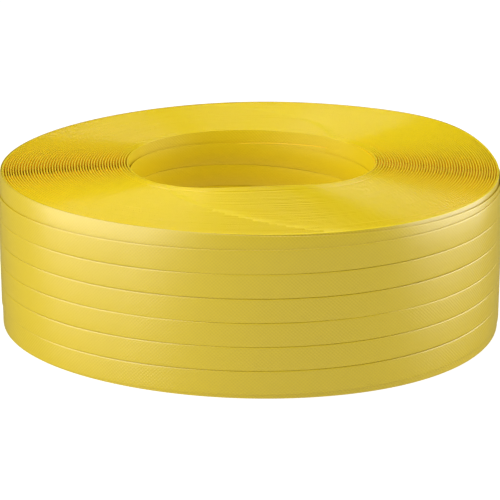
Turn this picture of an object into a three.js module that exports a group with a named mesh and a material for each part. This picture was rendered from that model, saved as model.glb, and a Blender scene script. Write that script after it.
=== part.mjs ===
// A coil of flat strapping band, wound back and forth on a drum and taken off it without a core.
//
// One long band is laid turn beside turn from one end face to the other and back, layer on layer,
// so the coil is a thick ring with a round hole. Each stretch of the band that shows is a solid of
// its own: the turns of the outermost layer and of the layer under it, the loose end outside, and
// the turns of the innermost layer. The layers between them lie tight on each other and are
// grouped into nested packs. A short tape holds the loose end down.
//
// Millimetres, +Z up. The origin is at the middle of the lower end face, on the surface that the
// coil stands on. The front is -Y, and angles count from the front towards +X.

import * as THREE from "three";

// ---- Driving dimensions -------------------------------------------------------------------

const BAND_WIDTH = 15.5;
const BAND_THICKNESS = 0.6;
const LANE_PITCH = 15.7; // climb of the band in one turn, and so the height of one lane
const TOUCH_GAP = 0.3; // kept between two solids that touch

const OUTER_RADIUS = 170; // over the outermost layer
const HOLE_RADIUS = 82.5; // inside the innermost layer
const COIL_HEIGHT = 106.6; // where the end face lies flat
const LAYER_COUNT = 96;
const PACK_COUNT = 4; // nested packs that the layers between are grouped into
const WHOLE_TURNS_OUTSIDE = 6; // of the outermost layer
const WHOLE_TURNS_INSIDE = 5; // of the innermost layer

const OUTSIDE_TOP_EDGE = 96.95; // upper edge of the highest whole turn outside, at the front
const INSIDE_TOP_EDGE = 104.96; // upper edge of the highest turn inside, at the front

const TAPE_LENGTH = 60;
const TAPE_WIDTH = 14;
const TAPE_THICKNESS = 0.3;

// The coil has settled a little out of round, three-cornered one way at the hole and the other
// way outside. The hole stands on the origin, and the layers shift a little sideways towards the
// outside, which leaves the outline centred on the origin too.
const HOLE_BULGE = -1.8;
const OUTSIDE_BULGE = 3.4;
const BULGE_ANGLE = THREE.MathUtils.degToRad(37);
const OUTLINE_SHIFT_X = 2.7;
const OUTLINE_SHIFT_Y = -2.1;

// The inner layers have been drawn up at the front, and stand above the rest of the end face.
const RAISE = 6.5; // at the hole
const RAISE_ANGLE = THREE.MathUtils.degToRad(4.5); // where it is highest
const RAISE_SPREAD = THREE.MathUtils.degToRad(27);

const BAND_COLOUR = 0xdcbc3a;
const INNER_BAND_COLOUR = 0xcfab12;
const TAPE_COLOUR = 0xece6cc;

// ---- Angles, as whole steps of a turn so that every nested solid has its corners in line ----

const STEPS = 48;
const STEP_ANGLE = (2 * Math.PI) / STEPS;
const BACK = STEPS / 2; // half a turn from the front
const OUTSIDE_START = -9; // where the lowest turn outside leaves the lower end face
const LOOSE_END = BACK + 5; // where the band is cut off outside
const UNDER_TURN_LEAVES_TOP = -3; // where the turn under the outermost layer starts down
const UNDER_TURN_END = 13; // where that turn goes out of sight
const INSIDE_START = 15; // where the band starts, inside at the bottom
const INSIDE_REACHES_TOP = 5; // where the innermost layer arrives at the upper end face

// ---- Worked-out sizes ---------------------------------------------------------------------

const LAYER_PITCH = (OUTER_RADIUS - HOLE_RADIUS - BAND_THICKNESS) / (LAYER_COUNT - 1);
const UNDER_RADIUS = OUTER_RADIUS - LAYER_PITCH;
const PACKS_OUTER = UNDER_RADIUS - LAYER_PITCH;
const PACKS_INNER = HOLE_RADIUS + LAYER_PITCH;

// ---- Materials ----------------------------------------------------------------------------

function bandMaterial() {
  return new THREE.MeshStandardMaterial({ color: BAND_COLOUR, roughness: 0.45, metalness: 0 });
}

function innerBandMaterial() {
  return new THREE.MeshStandardMaterial({ color: INNER_BAND_COLOUR, roughness: 0.5, metalness: 0 });
}

function tapeMaterial() {
  return new THREE.MeshStandardMaterial({ color: TAPE_COLOUR, roughness: 0.25, metalness: 0 });
}

// ---- Placing ------------------------------------------------------------------------------

// How far a layer's upper edge has been drawn up, from the whole of it at the hole to nothing
// at the outermost layer. The angle is brought to within half a turn of the highest place.
function raise(share, angle) {
  const turn = 2 * Math.PI;
  const away = angle - RAISE_ANGLE - turn * Math.round((angle - RAISE_ANGLE) / turn);
  return RAISE * Math.max(0, 1 - share) * Math.exp(-((away / RAISE_SPREAD) ** 2) / 2);
}

// Puts a vertex where a point of the perfectly round and level coil lies once it has settled.
// The share is how far out it is, from 0 at the hole to 1 at the outermost layer.
function placeVertex(position, index, radius, angle, height) {
  const share = (radius - HOLE_RADIUS) / (OUTER_RADIUS - HOLE_RADIUS);
  const bulge = HOLE_BULGE + (OUTSIDE_BULGE - HOLE_BULGE) * share;
  const settled = radius + bulge * Math.sin(3 * angle - BULGE_ANGLE);
  const x = settled * Math.sin(angle) + share * OUTLINE_SHIFT_X;
  const y = -settled * Math.cos(angle) + share * OUTLINE_SHIFT_Y;
  const z = height * (1 + raise(share, angle) / COIL_HEIGHT);
  position.setXYZ(index, x, y, z);
}

// ---- Solids -------------------------------------------------------------------------------

// A flat strip bent round the axis. Its length becomes the angle, its thickness the radius, and
// its lower edge follows lowerEdge(angle).
function woundStrip({ outerRadius, thickness, width, fromAngle, toAngle, steps, lowerEdge }) {
  const strip = new THREE.BoxGeometry(toAngle - fromAngle, thickness, width, steps, 1, 1);
  const middleAngle = (fromAngle + toAngle) / 2;
  const middleRadius = outerRadius - thickness / 2;
  const position = strip.attributes.position;
  for (let i = 0; i < position.count; i += 1) {
    const angle = middleAngle + position.getX(i);
    const radius = middleRadius - position.getY(i);
    const height = lowerEdge(angle) + width / 2 + position.getZ(i);
    placeVertex(position, i, radius, angle, height);
  }
  strip.computeVertexNormals();
  return strip;
}

// A stretch of the band between two steps, cut short at both ends by half a touching gap.
function bandStretch(outerRadius, fromStep, toStep, lowerEdge) {
  const cutAngle = TOUCH_GAP / 2 / outerRadius;
  return woundStrip({
    outerRadius,
    thickness: BAND_THICKNESS,
    width: BAND_WIDTH,
    fromAngle: fromStep * STEP_ANGLE + cutAngle,
    toAngle: toStep * STEP_ANGLE - cutAngle,
    steps: toStep - fromStep,
    lowerEdge,
  });
}

// A whole ring with a rectangular section.
function ring(innerRadius, outerRadius, bottom, top) {
  const section = [
    new THREE.Vector2(innerRadius, bottom),
    new THREE.Vector2(outerRadius, bottom),
    new THREE.Vector2(outerRadius, top),
    new THREE.Vector2(innerRadius, top),
    new THREE.Vector2(innerRadius, bottom),
  ];
  const geometry = new THREE.LatheGeometry(section, STEPS);
  geometry.rotateX(Math.PI / 2);
  const position = geometry.attributes.position;
  for (let i = 0; i < position.count; i += 1) {
    const x = position.getX(i);
    const y = position.getY(i);
    placeVertex(position, i, Math.hypot(x, y), Math.atan2(x, -y), position.getZ(i));
  }
  geometry.computeVertexNormals();
  return geometry;
}

function addMesh(group, name, geometry, material) {
  const mesh = new THREE.Mesh(geometry, material);
  mesh.name = name;
  group.add(mesh);
}

// ---- Sub-parts ----------------------------------------------------------------------------

// The lower edge of a climbing turn: lane 0 is the highest, and each lane is a pitch lower.
function climbingEdge(topEdgeAtFront, lane) {
  const lowerAtFront = topEdgeAtFront - BAND_WIDTH - lane * LANE_PITCH;
  return (angle) => lowerAtFront + (LANE_PITCH * angle) / (2 * Math.PI);
}

function addOutermostLayer(group) {
  for (let lane = 0; lane < WHOLE_TURNS_OUTSIDE; lane += 1) {
    const lowest = lane === WHOLE_TURNS_OUTSIDE - 1;
    const fromStep = lowest ? OUTSIDE_START : -BACK;
    const edge = climbingEdge(OUTSIDE_TOP_EDGE, lane);
    const geometry = bandStretch(OUTER_RADIUS, fromStep, BACK, edge);
    addMesh(group, `outer_turn_${lane + 1}`, geometry, bandMaterial());
  }
}

function addLooseEnd(group) {
  const edge = climbingEdge(OUTSIDE_TOP_EDGE, 0);
  const geometry = bandStretch(OUTER_RADIUS, BACK, LOOSE_END, edge);
  addMesh(group, "loose_end", geometry, bandMaterial());
}

// The tape lies along the band, half of it on the loose end and half past its cut.
function addEndTape(group) {
  const outerRadius = OUTER_RADIUS + TOUCH_GAP + TAPE_THICKNESS;
  const halfAngle = TAPE_LENGTH / 2 / outerRadius;
  const cut = LOOSE_END * STEP_ANGLE;
  const bandEdge = climbingEdge(OUTSIDE_TOP_EDGE, 0)(cut);
  const geometry = woundStrip({
    outerRadius,
    thickness: TAPE_THICKNESS,
    width: TAPE_WIDTH,
    fromAngle: cut - halfAngle,
    toAngle: cut + halfAngle,
    steps: 4,
    lowerEdge: () => bandEdge + (BAND_WIDTH - TAPE_WIDTH) / 2,
  });
  addMesh(group, "end_tape", geometry, tapeMaterial());
}

// The layer under the outermost one: a turn that starts and runs along the upper end face and then
// starts down, a turn along the lower end face, and the covered turns between them.
function addUnderLayer(group) {
  const leavesTop = UNDER_TURN_LEAVES_TOP * STEP_ANGLE;
  const highest = COIL_HEIGHT - BAND_WIDTH;
  const descendingEdge = (angle) => {
    const descent = (LANE_PITCH * Math.max(0, angle - leavesTop)) / (2 * Math.PI);
    return highest - descent;
  };
  const fromStep = UNDER_TURN_END - STEPS;
  const topTurn = bandStretch(UNDER_RADIUS, fromStep, UNDER_TURN_END, descendingEdge);
  addMesh(group, "under_turn_top", topTurn, bandMaterial());

  const bottomTurn = bandStretch(UNDER_RADIUS, -BACK, BACK, () => 0);
  addMesh(group, "under_turn_bottom", bottomTurn, bandMaterial());

  const coveredBottom = BAND_WIDTH + TOUCH_GAP;
  const coveredTop = descendingEdge(UNDER_TURN_END * STEP_ANGLE) - TOUCH_GAP;
  const innerRadius = UNDER_RADIUS - BAND_THICKNESS;
  const covered = ring(innerRadius, UNDER_RADIUS, coveredBottom, coveredTop);
  addMesh(group, "under_turns_covered", covered, bandMaterial());
}

function addPacks(group) {
  const depth = (PACKS_OUTER - PACKS_INNER + TOUCH_GAP) / PACK_COUNT;
  for (let i = 0; i < PACK_COUNT; i += 1) {
    const innerRadius = PACKS_INNER + i * depth;
    const geometry = ring(innerRadius, innerRadius + depth - TOUCH_GAP, 0, COIL_HEIGHT);
    addMesh(group, `layer_pack_${i + 1}`, geometry, innerBandMaterial());
  }
}

// The innermost layer, from the start of the band at the bottom up to the upper end face.
function addInnermostLayer(group) {
  const outerRadius = HOLE_RADIUS + BAND_THICKNESS;
  const lowestLane = WHOLE_TURNS_INSIDE + 1;
  for (let lane = 0; lane <= lowestLane; lane += 1) {
    const fromStep = lane === lowestLane ? INSIDE_START : -BACK;
    const toStep = lane === 0 ? INSIDE_REACHES_TOP : BACK;
    const geometry = bandStretch(outerRadius, fromStep, toStep, climbingEdge(INSIDE_TOP_EDGE, lane));
    addMesh(group, `inner_turn_${lane + 1}`, geometry, innerBandMaterial());
  }
}

// ---- The coil -----------------------------------------------------------------------------

const coil = new THREE.Group();
coil.name = "flat_band_coil";
addOutermostLayer(coil);
addLooseEnd(coil);
addEndTape(coil);
addUnderLayer(coil);
addPacks(coil);
addInnermostLayer(coil);

export default coil;
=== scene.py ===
"""A coil of flat, embossed strapping band: one long band wound back and forth, without a core.

The outermost and the innermost layer are modelled turn by turn, and climb one lane a turn. Of the
layer under the outermost one, a turn that starts down shows at the top and a level turn at the
bottom, and the turns that it covers are plain rings. The layers between show little more than
their edges, with narrow gaps between them, so each is one ring over the whole height.

Angles count from the front (-Y) towards +X, in radians. A winding angle goes on counting past a
whole turn, so that a pattern that follows the band has no seam between two turns.
"""

import math
import random

import bmesh
import bpy
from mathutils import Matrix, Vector


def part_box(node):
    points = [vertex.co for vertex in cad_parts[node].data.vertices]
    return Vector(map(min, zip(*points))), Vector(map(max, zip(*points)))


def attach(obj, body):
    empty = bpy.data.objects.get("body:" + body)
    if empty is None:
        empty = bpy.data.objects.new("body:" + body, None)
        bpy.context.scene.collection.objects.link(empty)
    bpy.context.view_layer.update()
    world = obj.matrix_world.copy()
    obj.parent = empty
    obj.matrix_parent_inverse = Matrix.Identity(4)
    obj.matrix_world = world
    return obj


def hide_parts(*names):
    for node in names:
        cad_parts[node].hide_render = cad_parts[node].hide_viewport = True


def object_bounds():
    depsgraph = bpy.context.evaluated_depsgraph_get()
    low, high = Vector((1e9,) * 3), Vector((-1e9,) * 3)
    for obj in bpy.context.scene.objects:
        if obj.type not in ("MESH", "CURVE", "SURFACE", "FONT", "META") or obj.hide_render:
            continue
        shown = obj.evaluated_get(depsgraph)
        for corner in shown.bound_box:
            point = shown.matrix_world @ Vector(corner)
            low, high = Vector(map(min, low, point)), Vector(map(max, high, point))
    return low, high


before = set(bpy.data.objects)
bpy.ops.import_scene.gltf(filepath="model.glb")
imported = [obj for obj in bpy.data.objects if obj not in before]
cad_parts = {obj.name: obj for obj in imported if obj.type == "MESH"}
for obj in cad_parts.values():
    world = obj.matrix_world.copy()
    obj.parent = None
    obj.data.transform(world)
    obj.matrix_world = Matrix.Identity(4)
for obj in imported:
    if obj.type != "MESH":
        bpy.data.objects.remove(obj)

CAD_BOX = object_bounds()

MM = 0.001
TURN = 2 * math.pi

# ---- The band and the coil ----------------------------------------------------------------

BAND_WIDTH = 15.5 * MM
BAND_THICKNESS = 0.6 * MM
LAYER_THICKNESS = 0.84 * MM # over the raised diamonds, where layers press on each other
LAYER_COUNT = 96
OUTER_RADIUS = 170 * MM
HOLE_RADIUS = 82.5 * MM
COIL_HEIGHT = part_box("under_turn_top")[1].z
LANE_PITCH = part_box("outer_turn_1")[1].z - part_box("outer_turn_2")[1].z
LAYER_PITCH = (OUTER_RADIUS - HOLE_RADIUS - BAND_THICKNESS) / (LAYER_COUNT - 1)

# Upper edges, at the front, of the highest climbing turn outside and inside.
OUTSIDE_TOP_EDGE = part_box("outer_turn_1")[1].z - LANE_PITCH / 2
INSIDE_TOP_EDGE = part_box("inner_turn_2")[1].z + LANE_PITCH / 2

# Where the single turns start and end, in turns from the front.
OUTSIDE_START = -9 / 48
LOOSE_END = 29 / 48
UNDER_TURN_LEAVES_TOP = -3 / 48
UNDER_TURN_END = 13 / 48
INSIDE_START = 15 / 48
INSIDE_REACHES_TOP = 5 / 48

UNDER_DEPTH = 0.66 * MM # how far the second layer's face lies below the outermost one's

# How far round the band takes to step from one layer to the next.
STEP_OVER = TURN / 14

# How the coil has settled: slightly three-cornered, one way at the hole and the other way outside,
# a little sideways at the outside, and with its outer upper corner rounded over.
HOLE_BULGE = -1.8 * MM
OUTSIDE_BULGE = 3.4 * MM
BULGE_ANGLE = math.radians(37)
OUTLINE_SHIFT = Vector((2.7 * MM, -2.1 * MM, 0))
SHOULDER = 1.3 * MM
SHOULDER_HEIGHT = 13 * MM
SHOULDER_SHARE = 0.14

# The inner layers have been drawn up at the front, and stand above the rest of the end face.
RAISE = CAD_BOX[1].z - COIL_HEIGHT
RAISE_ANGLE = math.radians(4.5)
RAISE_SPREAD = math.radians(27)

# The outer layers stand up a little too, towards the back on the right.
OUTER_RAISE = 3.6 * MM
OUTER_RAISE_ANGLE = math.radians(122)
OUTER_RAISE_SPREAD = math.radians(19)

# How unevenly a stretch of band is wound: in and out, leaning across its width, and up and down.
WANDER = 0.10 * MM
LEAN = 0.10 * MM
SWAY = 0.24 * MM

STEPS_PER_TURN = 240
RING_STEPS = 192
SHARP_ANGLE = math.radians(50)


# ---- Shader arithmetic --------------------------------------------------------------------


class Signal:
    """A number that varies over a surface. Arithmetic on it adds Math nodes."""

    def __init__(self, nodes, socket):
        self.nodes = nodes
        self.socket = socket

    def math(self, operation, *others, first=None):
        inputs = dict(enumerate([self if first is None else first, *others]))
        return self.nodes.node("ShaderNodeMath", {"operation": operation}, inputs)

    def __add__(self, other):
        return self.math("ADD", other)

    __radd__ = __add__

    def __mul__(self, other):
        return self.math("MULTIPLY", other)

    __rmul__ = __mul__

    def __sub__(self, other):
        return self.math("SUBTRACT", other)

    def __rsub__(self, other):
        return self.math("SUBTRACT", self, first=other)

    def sine(self):
        return self.math("SINE")

    def size(self):
        return self.math("ABSOLUTE")

    def clamped(self):
        return self.nodes.node("ShaderNodeClamp", {}, {"Value": self})


class Nodes:
    """A node tree, and the one method that adds nodes to it."""

    def __init__(self, tree):
        self.tree = tree

    def node(self, kind, settings, inputs, output=0):
        """Adds a node, sets its settings, then its sockets' values or links."""
        made = self.tree.nodes.new(kind)
        for key, value in settings.items():
            setattr(made, key, value)
        for key, value in inputs.items():
            self.feed(made.inputs[key], value)
        return Signal(self, made.outputs[output])

    def feed(self, socket, value):
        if isinstance(value, Signal):
            self.tree.links.new(value.socket, socket)
        else:
            socket.default_value = value


class Finish(Nodes):
    """One material, and the nodes that finishes have in common."""

    def __init__(self, name):
        self.material = bpy.data.materials.new(name)
        self.material.use_nodes = True
        super().__init__(self.material.node_tree)
        self.shader = self.tree.nodes["Principled BSDF"]

    def set(self, **inputs):
        """Sets or links the shader's own sockets, named with underscores for spaces."""
        for key, value in inputs.items():
            self.feed(self.shader.inputs[key.replace("_", " ")], value)

    def place(self):
        """The object coordinates, as a vector."""
        return self.node("ShaderNodeTexCoord", {}, {}, "Object")

    def parts(self, vector):
        """The x, y and z of a vector."""
        split = self.node("ShaderNodeSeparateXYZ", {}, {0: vector}).socket.node
        return [Signal(self, split.outputs[i]) for i in range(3)]

    def noise(self, vector, scale, detail):
        inputs = {"Vector": vector, "Scale": scale, "Detail": detail}
        return self.node("ShaderNodeTexNoise", {}, inputs)

    def mix(self, factor, first, second):
        settings = {"data_type": "RGBA"}
        return self.node("ShaderNodeMix", settings, {0: factor, 6: first, 7: second}, 2)


# ---- Finishes -----------------------------------------------------------------------------

DIAMOND_LENGTH = 2.4 * MM # along the band
DIAMOND_WIDTH = 2.3 * MM # across it
EMBOSS_DEPTH = 0.10 * MM

# A light and a deep tone each.
OUTSIDE_YELLOWS = [(0.695, 0.515, 0.001, 1), (0.63, 0.456, 0.001, 1)]
INSIDE_YELLOWS = [(0.79, 0.590, 0.003, 1), (0.74, 0.535, 0.002, 1)]
# The edges' yellows are painted lighter than the outside's: painted light from above on the end
# faces.
EDGE_YELLOWS_PAINTED_TOP_LIGHT = [(0.88, 0.690, 0.003, 1), (0.84, 0.630, 0.002, 1)]
# Painted glow: the brighter orange that the gaps below the end faces are painted in, for light
# through the band.
GAP_PAINTED_GLOW = (0.97, 0.640, 0.003, 1)
TAPE_TINT = (0.86, 0.80, 0.55, 1)

# How far below the end faces the gaps between layers start to be painted warmer and brighter, as
# painted light coming through the band, and how gradually.
GAP_START = 0.3 * MM
GAP_FADE = 0.8 * MM


def emboss(finish, vector, radius):
    """The pressed diamond lattice, from -1 in a groove to 1 on a diamond, closed round the coil."""
    x, y, z = finish.parts(vector)
    diamonds_round = round(TURN * radius / DIAMOND_LENGTH)
    along = (x.math("ARCTAN2", y * -1) * diamonds_round).sine()
    across = (z * (TURN / DIAMOND_WIDTH)).sine()
    return along * across


def band_finish(name, radius, yellows, gloss, roughness):
    """The band's embossed face at a radius, mottled between two yellows, with painted shade: the
    grooves of the lattice are painted in the deeper one. The roughness is the middle one: the two
    noises, a half on average, take it 0.07 up and down."""
    finish = Finish(name)
    vector = finish.place()
    lattice = emboss(finish, vector, radius)
    broad = finish.noise(vector, scale=9.0, detail=3.0)
    fine = finish.noise(vector, scale=160.0, detail=2.0)
    # Painted shade: the lattice's grooves lean the tone towards the deeper yellow.
    tone = (broad * 0.7 + fine * 0.3 - lattice * 0.5).clamped()
    height = lattice * 0.5 + fine * 0.35
    bump_inputs = {"Height": height, "Distance": EMBOSS_DEPTH, "Strength": 1.0}
    finish.set(
        Base_Color=finish.mix(tone, *yellows),
        Roughness=(broad * 0.08 + fine * 0.06 + (roughness - 0.07)),
        Normal=finish.node("ShaderNodeBump", {}, bump_inputs),
        IOR=1.49,
        Specular_IOR_Level=gloss,
        Coat_Weight=gloss / 2,
        Coat_Roughness=roughness,
    )
    return finish.material


def edge_finish():
    """The edges of the layers, smooth and painted lighter as painted light from above, and warmer
    and brighter down in the gaps, where light comes through: a painted glow.
    """
    finish = Finish("band_edges")
    vector = finish.place()
    x, y, z = finish.parts(vector)
    broad = finish.noise(vector, scale=14.0, detail=2.0)
    fine = finish.noise(vector, scale=420.0, detail=2.0)
    tone = (broad * 0.6 + fine * 0.4).clamped()
    # Painted glow, deeper than the end faces: the gaps are painted in a brighter orange, standing
    # in for light through the band.
    below_end_face = COIL_HEIGHT / 2 - (z - COIL_HEIGHT / 2).size()
    painted_gap_glow = ((below_end_face - GAP_START) * (1 / GAP_FADE)).clamped()
    bump_inputs = {"Height": fine, "Distance": 0.05 * MM, "Strength": 0.3}
    finish.set(
        Base_Color=finish.mix(painted_gap_glow, finish.mix(tone, *EDGE_YELLOWS_PAINTED_TOP_LIGHT), GAP_PAINTED_GLOW),
        Roughness=(0.18 + fine * 0.10),
        Normal=finish.node("ShaderNodeBump", {}, bump_inputs),
        IOR=1.49,
        Specular_IOR_Level=0.6,
    )
    return finish.material


def tape_finish():
    finish = Finish("clear_tape")
    wrinkles = finish.noise(finish.place(), scale=90.0, detail=3.0)
    bump_inputs = {"Height": wrinkles, "Distance": 0.2 * MM, "Strength": 0.5}
    finish.set(
        Base_Color=TAPE_TINT,
        Roughness=(0.12 + wrinkles * 0.12),
        Normal=finish.node("ShaderNodeBump", {}, bump_inputs),
        IOR=1.47,
        Alpha=0.45,
        Coat_Weight=0.4,
        Coat_Roughness=0.1,
    )
    return finish.material


# ---- Winding ------------------------------------------------------------------------------


def eased(share):
    """Goes smoothly from 0 to 1 as share does, and stays there beyond."""
    share = min(1, max(0, share))
    return share * share * (3 - 2 * share)


def raised(share, angle):
    """How far a layer's upper edge has been drawn up. Its share is 0 at the hole, 1 outside."""
    away = math.remainder(angle - RAISE_ANGLE, TURN) / RAISE_SPREAD
    outer_away = math.remainder(angle - OUTER_RAISE_ANGLE, TURN) / OUTER_RAISE_SPREAD
    inner = RAISE * max(0, 1 - share) * math.exp(-away * away / 2)
    return inner + OUTER_RAISE * share * share * math.exp(-outer_away * outer_away / 2)


def settled(radius, angle, height):
    """Where a point of the perfectly round and level coil lies once the coil has settled."""
    share = (radius - HOLE_RADIUS) / (OUTER_RADIUS - HOLE_RADIUS)
    bulge = HOLE_BULGE + (OUTSIDE_BULGE - HOLE_BULGE) * share
    near_top = max(0, 1 - (COIL_HEIGHT - height) / SHOULDER_HEIGHT)
    near_outside = max(0, 1 - (1 - share) / SHOULDER_SHARE)
    radius += bulge * math.sin(3 * angle - BULGE_ANGLE)
    radius -= SHOULDER * near_outside * near_top * near_top
    height *= 1 + raised(share, angle) / COIL_HEIGHT
    point = Vector((radius * math.sin(angle), -radius * math.cos(angle), height))
    return point + OUTLINE_SHIFT * share


def angle_near(co, middle):
    """The winding angle of a point that lies less than half a turn from middle."""
    angle = math.atan2(co.x, -co.y) - middle
    return middle + (angle + math.pi) % TURN - math.pi


def angle_after(co, start):
    """The winding angle of a point that lies within a whole turn after start."""
    return start + (math.atan2(co.x, -co.y) - start) % TURN


class Ripple:
    """A smooth, repeatable unevenness along the winding angle, between -size and size. With whole
    rates it closes on itself after a turn."""

    def __init__(self, seed, size, whole=False):
        draw = random.Random(seed)
        rates = [1, 2, 3, 5, 8] if whole else [0.37, 0.83, 1.71, 2.9, 6.3]
        self.terms = [(rate, draw.uniform(0, TURN), draw.uniform(0.3, 1)) for rate in rates]
        self.scale = size / sum(weight for rate, phase, weight in self.terms)

    def __call__(self, angle):
        total = sum(w * math.sin(rate * angle + phase) for rate, phase, w in self.terms)
        return self.scale * total


def unevenness(seed):
    """How a stretch of band wanders: in and out, leaning across its width, and up and down."""
    return Ripple(seed, WANDER), Ripple(seed + 1, LEAN), Ripple(seed + 2, SWAY)


def band_section():
    """The outline of the band across its width, as (outwards, upwards) from its lower inner edge.

    The upper edge is rolled back a little, so it catches light from above."""
    thick, width = BAND_THICKNESS, BAND_WIDTH
    corner = 0.2 * MM
    lower = [(0.12 * MM, 0), (thick - corner, 0), (thick - 0.04 * MM, corner), (thick, 4 * corner)]
    outer = [(thick, 7.7 * MM), (thick, width - 1.1 * MM)]
    rolled_back = [(thick - 0.02 * MM, width - 3 * corner), (thick - 0.1 * MM, width - corner)]
    upper = [(thick - 0.26 * MM, width), (0.1 * MM, width)]
    inner = [(0, width - corner), (0, corner)]
    return lower + outer + rolled_back + upper + inner


def spun_section(bm, section, radius, start, sweep, steps, closed=False):
    """Spins a closed section about the axis from the angle start, and caps an open sweep."""
    spot = [(radius + out, up) for out, up in section]
    sine, cosine = math.sin(start), math.cos(start)
    verts = [bm.verts.new((r * sine, -r * cosine, up)) for r, up in spot]
    edges = [bm.edges.new(pair) for pair in zip(verts, verts[1:] + verts[:1])]
    if not closed:
        bm.faces.new(verts)
    spun = bmesh.ops.spin(
        bm,
        geom=edges,
        cent=(0, 0, 0),
        axis=(0, 0, 1),
        angle=sweep,
        steps=steps,
        use_merge=closed,
    )
    if not closed:
        ends = [e for e in spun["geom_last"] if isinstance(e, bmesh.types.BMEdge)]
        bmesh.ops.edgeloop_fill(bm, edges=ends)


def finished_piece(name, bm, material, slot, *nodes):
    """Turns a bmesh into a smooth piece that rides on the coil and replaces its CAD nodes."""
    bmesh.ops.recalc_face_normals(bm, faces=bm.faces)
    for face in bm.faces:
        face.smooth = True
    for edge in bm.edges:
        edge.smooth = edge.calc_face_angle(0) < SHARP_ANGLE
    mesh = bpy.data.meshes.new(name)
    bm.to_mesh(mesh)
    bm.free()
    mesh.materials.append(material)
    piece = bpy.data.objects.new(name, mesh)
    bpy.context.scene.collection.objects.link(piece)
    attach(piece, "root")
    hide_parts(*nodes)
    return piece


def band_turn(radius, start, end, lower_edge, seed, from_layer=0, to_layer=0):
    """One stretch of band between two winding angles, with the small unevenness of a real one.

    It may step over from another layer at its start, or to another at its end, which are given
    as the number of layers outwards. A sliver is left off, so that the ends of a whole turn are
    told apart."""
    sliver = 1e-5 * TURN
    sweep = end - start - sliver
    steps = max(4, round(STEPS_PER_TURN * sweep / TURN))
    bm = bmesh.new()
    spun_section(bm, band_section(), radius, start + sliver / 2, sweep, steps)
    in_and_out, lean, sway = unevenness(seed)
    for vert in bm.verts:
        angle = angle_after(vert.co, start)
        across = vert.co.z / BAND_WIDTH - 0.5
        stepped = from_layer * (1 - eased((angle - start) / STEP_OVER))
        stepped += to_layer * eased((angle - end) / STEP_OVER + 1)
        wound = vert.co.xy.length + in_and_out(angle) + lean(angle) * across
        height = vert.co.z + lower_edge(angle) + sway(angle)
        vert.co = settled(wound + stepped * LAYER_PITCH, angle, height)
    return bm


def climbing_edge(top_edge_at_front):
    """The lower edge of a helix that climbs a lane a turn, as a function of winding angle."""
    return lambda angle: top_edge_at_front - BAND_WIDTH + LANE_PITCH * angle / TURN


# ---- Outside ------------------------------------------------------------------------------

OUTSIDE_SEED = 10 # one seed for all the outermost turns, because they are one stretch of band
WHOLE_TURNS_OUTSIDE = 6
UNDER_PROUD = 0.1 * MM # the under layer's top turn above the end face
BOTTOM_CLEAR = 0.25 * MM # its bottom turn above the floor

TAPE_LENGTH = 60 * MM
TAPE_WIDTH = 14 * MM
TAPE_THICKNESS = 0.1 * MM
TAPE_CLEAR = 0.12 * MM # off the band
TAPE_STEP = UNDER_DEPTH / 2 # how far the tape steps down past the band's cut
TAPE_SLOPE = 3 * MM # and over what length
TAPE_STEPS = 60
TAPE_ROWS = 8 # across it, for it to follow the curve of the band


def outermost_layer(material):
    """Turn 1 is the highest. Lower turns have smaller winding angles, so one helix runs on."""
    edge = climbing_edge(OUTSIDE_TOP_EDGE)
    radius = OUTER_RADIUS - BAND_THICKNESS
    for lane in range(WHOLE_TURNS_OUTSIDE):
        lowest = lane == WHOLE_TURNS_OUTSIDE - 1
        start = (OUTSIDE_START if lowest else -0.5) - lane
        end = 0.5 - lane
        below = -1 if lowest else 0
        bm = band_turn(radius, start * TURN, end * TURN, edge, OUTSIDE_SEED, from_layer=below)
        node = f"outer_turn_{lane + 1}"
        finished_piece(f"band_{node}", bm, material, "band", node)
    bm = band_turn(radius, 0.5 * TURN, LOOSE_END * TURN, edge, OUTSIDE_SEED)
    finished_piece("band_loose_end", bm, material, "band", "loose_end")


def under_layer(material):
    """The second layer: along the upper end face and then down, and along the lower one."""
    radius = OUTER_RADIUS - BAND_THICKNESS - UNDER_DEPTH
    highest = COIL_HEIGHT - BAND_WIDTH + UNDER_PROUD
    leaves_top = UNDER_TURN_LEAVES_TOP * TURN

    def descending_edge(angle):
        return highest - LANE_PITCH * max(0, angle - leaves_top) / TURN

    start, end = (UNDER_TURN_END - 1) * TURN, UNDER_TURN_END * TURN
    top = band_turn(radius, start, end, descending_edge, seed=40, from_layer=-1)
    finished_piece("band_under_turn_top", top, material, "band", "under_turn_top")

    bottom = band_turn(radius, -0.5 * TURN, 0.5 * TURN, lambda angle: BOTTOM_CLEAR, seed=50)
    finished_piece("band_under_turn_bottom", bottom, material, "band", "under_turn_bottom")

    covered = bmesh.new()
    low, high = (corner.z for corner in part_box("under_turns_covered"))
    for lane in range(int((high - low) / LANE_PITCH)):
        section = [(out, up + low + lane * LANE_PITCH) for out, up in band_section()]
        spun_section(covered, section, radius, 0, TURN, RING_STEPS, closed=True)
    for vert in covered.verts:
        vert.co = settled(vert.co.xy.length, math.atan2(vert.co.x, -vert.co.y), vert.co.z)
    node = "under_turns_covered"
    finished_piece(f"band_{node}", covered, material, "band", node)


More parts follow.
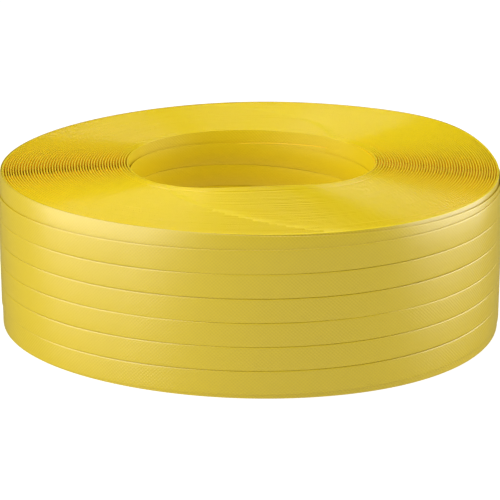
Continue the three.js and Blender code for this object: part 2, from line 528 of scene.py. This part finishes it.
def end_tape(material):
    """The tape follows the loose end, and steps down beyond its cut."""
    width = TAPE_WIDTH
    radius = OUTER_RADIUS + TAPE_CLEAR
    in_and_out, lean, sway = unevenness(OUTSIDE_SEED)
    middle = LOOSE_END * TURN
    sweep = TAPE_LENGTH / radius
    lower = climbing_edge(OUTSIDE_TOP_EDGE)(middle) + (BAND_WIDTH - width) / 2
    outer = [(TAPE_THICKNESS, width * row / TAPE_ROWS) for row in range(TAPE_ROWS + 1)]
    section = outer + [(0, up) for out, up in reversed(outer)]
    bm = bmesh.new()
    spun_section(bm, section, radius, middle - sweep / 2, sweep, TAPE_STEPS)
    for vert in bm.verts:
        angle = angle_near(vert.co, middle)
        step_down = TAPE_STEP * eased((angle - middle) * radius / TAPE_SLOPE)
        wound = vert.co.xy.length - step_down
        wound += in_and_out(angle) + lean(angle) * (vert.co.z / width - 0.5)
        vert.co = settled(wound, angle, vert.co.z + lower + sway(angle))
    finished_piece("end_tape_film", bm, material, "tape", "end_tape")


# ---- Layers between -----------------------------------------------------------------------

PACK_COUNT = 4
BETWEEN = LAYER_COUNT - 3 # all but the innermost, the second and the outermost
WALL_TILT = 0.3 # a face whose normal rises less than this belongs to a layer's wall
EDGE_ARM_AT_HOLE = math.radians(-42)
EDGE_ARM_SWING = math.radians(59)
COLLAR_LAYERS = 10 # the innermost layers stand a little prouder than the others
COLLAR_RISE = 0.45 * MM
TOP_GAP = 0.1 * MM # from the layers' upper edges up to the end face, but for the collar
BOTTOM_GAP = 0.12 * MM # from the floor up to their lower edges
LAYER_ROUNDING = 0.3 * MM # height of the round at a layer's edges

# How unevenly a layer lies: in and out, and at its upper and lower edges.
LAYER_WANDER = 0.09 * MM
TOP_RIPPLE = 0.14 * MM
BOTTOM_RIPPLE = 0.12 * MM


def layer_section():
    """A thin wall, a metre high, with rounded edges, as (outwards, upwards)."""
    half = LAYER_THICKNESS / 2
    rise = LAYER_ROUNDING
    arc = [math.pi * i / 4 for i in range(5)]
    upper = [(half + half * math.cos(a), 1 - rise + rise * math.sin(a)) for a in arc]
    lower = [(half - half * math.cos(a), rise - rise * math.sin(a)) for a in arc]
    return upper + lower


def edge_depth(angle, arm):
    """How far from the end face a layer's edge lies. One turn leaves the face at the arm of a
    spiral and another arrives at it half a turn further on, at a lane a turn, and the nearer one
    is the edge."""
    since_leaving = (angle - arm) % TURN
    until_arriving = (arm + TURN / 2 - angle) % TURN
    return LANE_PITCH * min(since_leaving, until_arriving) / TURN


def shaped_layer(template, index):
    """One layer between the inside and the outside, with its own slight unevenness. The
    template is a ring one metre in radius, and a metre high."""
    share = index / (LAYER_COUNT - 1)
    arm = EDGE_ARM_AT_HOLE + EDGE_ARM_SWING * share
    proud = index % 2 == 0 or index == BETWEEN
    collar = COLLAR_RISE if index < COLLAR_LAYERS else 0
    top = COIL_HEIGHT - TOP_GAP + collar
    in_and_out = Ripple(300 + index, LAYER_WANDER, whole=True)
    top_ripple = Ripple(500 + index, TOP_RIPPLE, whole=True)
    bottom_ripple = Ripple(700 + index, BOTTOM_RIPPLE, whole=True)
    radius = HOLE_RADIUS + index * LAYER_PITCH
    bm = bmesh.new()
    bm.from_mesh(template)
    if index <= 2 or index == BETWEEN:
        for face in bm.faces:
            face.material_index = int(abs(face.normal.z) < WALL_TILT)
    for vert in bm.verts:
        angle = math.atan2(vert.co.x, -vert.co.y)
        if vert.co.z > 0.5:
            drop = 0 if proud else edge_depth(angle, arm)
            height = vert.co.z - 1 + top - drop + top_ripple(angle)
        else:
            rise = 0 if proud else edge_depth(-angle, arm)
            height = vert.co.z + rise + BOTTOM_GAP + bottom_ripple(angle)
        wound = vert.co.xy.length - 1 + radius + in_and_out(angle)
        vert.co = settled(wound, angle, height)
    shaped = bpy.data.meshes.new("layer")
    bm.to_mesh(shaped)
    bm.free()
    return shaped


def layer_packs(edges, inside, outside):
    """The first two layers and the last show their walls above the turns that have left the end
    face, so those walls are finished as band, and all else as edges."""
    ring = bmesh.new()
    spun_section(ring, layer_section(), 1, 0, TURN, RING_STEPS, closed=True)
    bmesh.ops.recalc_face_normals(ring, faces=ring.faces)
    template = bpy.data.meshes.new("layer_template")
    ring.to_mesh(template)
    ring.free()
    for pack in range(PACK_COUNT):
        first = 1 + BETWEEN * pack // PACK_COUNT
        last = BETWEEN * (pack + 1) // PACK_COUNT
        bm = bmesh.new()
        for index in range(first, last + 1):
            bm.from_mesh(shaped_layer(template, index))
        node = f"layer_pack_{pack + 1}"
        piece = finished_piece(f"band_{node}", bm, edges, "band_inner", node)
        piece.data.materials.append(inside if pack == 0 else outside)


# ---- Inside -------------------------------------------------------------------------------

WHOLE_TURNS_INSIDE = 5


def innermost_layer(material):
    edge = climbing_edge(INSIDE_TOP_EDGE)
    lowest_lane = WHOLE_TURNS_INSIDE + 1
    for lane in range(lowest_lane + 1):
        start = (INSIDE_START if lane == lowest_lane else -0.5) - lane
        end = (INSIDE_REACHES_TOP if lane == 0 else 0.5) - lane
        beyond = 1 if lane == 0 else 0
        bm = band_turn(HOLE_RADIUS, start * TURN, end * TURN, edge, seed=70, to_layer=beyond)
        node = f"inner_turn_{lane + 1}"
        finished_piece(f"band_{node}", bm, material, "band_inner", node)


# ---- Studio -------------------------------------------------------------------------------

VIEW_ELEVATION = math.radians(17.67)
VIEW_DISTANCE = 9 * OUTER_RADIUS
VIEW_TARGET = Vector((0, -2.1 * MM, 43.9 * MM))
LENS_MM = 160.3

WHITE = (1, 1, 1, 1)
ROOM_LIGHT = 0.15
FLOOR_GREY = (0.35, 0.35, 0.35, 1)
FLOOR_GLOW = 0.85
FLOOR_REACH = 6 # m from the middle to each side

# Name, angle from the front towards +X, elevation, distance (m), width and height (m), power (W).
SOFT_LIGHTS = [
    ("panel_left", -67, 16, 1.7, (2.1, 2.0), 36),
    ("panel_right", 95, 14, 1.8, (1.9, 1.8), 30),
    ("panel_top", 0, 86, 1.9, (1.6, 1.6), 19),
]


def camera():
    lens = bpy.data.cameras.new("view")
    lens.lens = LENS_MM
    lens.sensor_width = 36
    lens.clip_start = 0.05
    lens.clip_end = 50
    eye = bpy.data.objects.new("view", lens)
    bpy.context.scene.collection.objects.link(eye)
    back = Vector((0, -math.cos(VIEW_ELEVATION), math.sin(VIEW_ELEVATION)))
    eye.location = VIEW_TARGET + back * VIEW_DISTANCE
    eye.rotation_euler = (-back).to_track_quat("-Z", "Y").to_euler()
    bpy.context.scene.camera = eye


def soft_light(name, place, size, power):
    lamp = bpy.data.lights.new(name, "AREA")
    lamp.shape = "RECTANGLE"
    lamp.size, lamp.size_y = size
    lamp.energy = power
    holder = bpy.data.objects.new(name, lamp)
    bpy.context.scene.collection.objects.link(holder)
    holder.location = place
    aim = VIEW_TARGET - holder.location
    holder.rotation_euler = aim.to_track_quat("-Z", "Y").to_euler()


def white_room():
    """The room is white to the camera, and lights the coil only weakly."""
    world = bpy.data.worlds.new("white_room")
    world.use_nodes = True
    nodes = Nodes(world.node_tree)
    lighting = nodes.node("ShaderNodeBackground", {}, {"Color": WHITE, "Strength": ROOM_LIGHT})
    backdrop = nodes.node("ShaderNodeBackground", {}, {"Color": WHITE, "Strength": 1.0})
    seen = nodes.node("ShaderNodeLightPath", {}, {}, "Is Camera Ray")
    room = nodes.node("ShaderNodeMixShader", {}, {0: seen, 1: lighting, 2: backdrop})
    nodes.feed(world.node_tree.nodes["World Output"].inputs["Surface"], room)
    bpy.context.scene.world = world


def soft_lights():
    for name, azimuth, elevation, distance, size, power in SOFT_LIGHTS:
        azimuth, elevation = math.radians(azimuth), math.radians(elevation)
        level = distance * math.cos(elevation)
        height = distance * math.sin(elevation)
        reach = (level * math.sin(azimuth), -level * math.cos(azimuth), height)
        soft_light(name, VIEW_TARGET + Vector(reach), size, power)


def pale_floor():
    bm = bmesh.new()
    bmesh.ops.create_grid(bm, x_segments=1, y_segments=1, size=FLOOR_REACH)
    mesh = bpy.data.meshes.new("floor")
    bm.to_mesh(mesh)
    bm.free()
    floor = bpy.data.objects.new("floor", mesh)
    bpy.context.scene.collection.objects.link(floor)
    paint = Finish("floor_paint")
    paint.set(
        Base_Color=FLOOR_GREY,
        Roughness=0.8,
        Specular_IOR_Level=0.0,
        Emission_Color=WHITE,
        Emission_Strength=FLOOR_GLOW,
    )
    mesh.materials.append(paint.material)
    floor.visible_glossy = False


def studio():
    white_room()
    soft_lights()
    pale_floor()
    bpy.context.scene.view_settings.view_transform = "Standard"


# ---- The whole ----------------------------------------------------------------------------


def coil():
    outside = band_finish("band_outside", OUTER_RADIUS, OUTSIDE_YELLOWS, gloss=1.0, roughness=0.31)
    inside = band_finish("band_inside", HOLE_RADIUS, INSIDE_YELLOWS, gloss=0.25, roughness=0.5)
    edges = edge_finish()
    outermost_layer(outside)
    under_layer(outside)
    end_tape(tape_finish())
    layer_packs(edges, inside, outside)
    innermost_layer(inside)


camera()
studio()
coil()
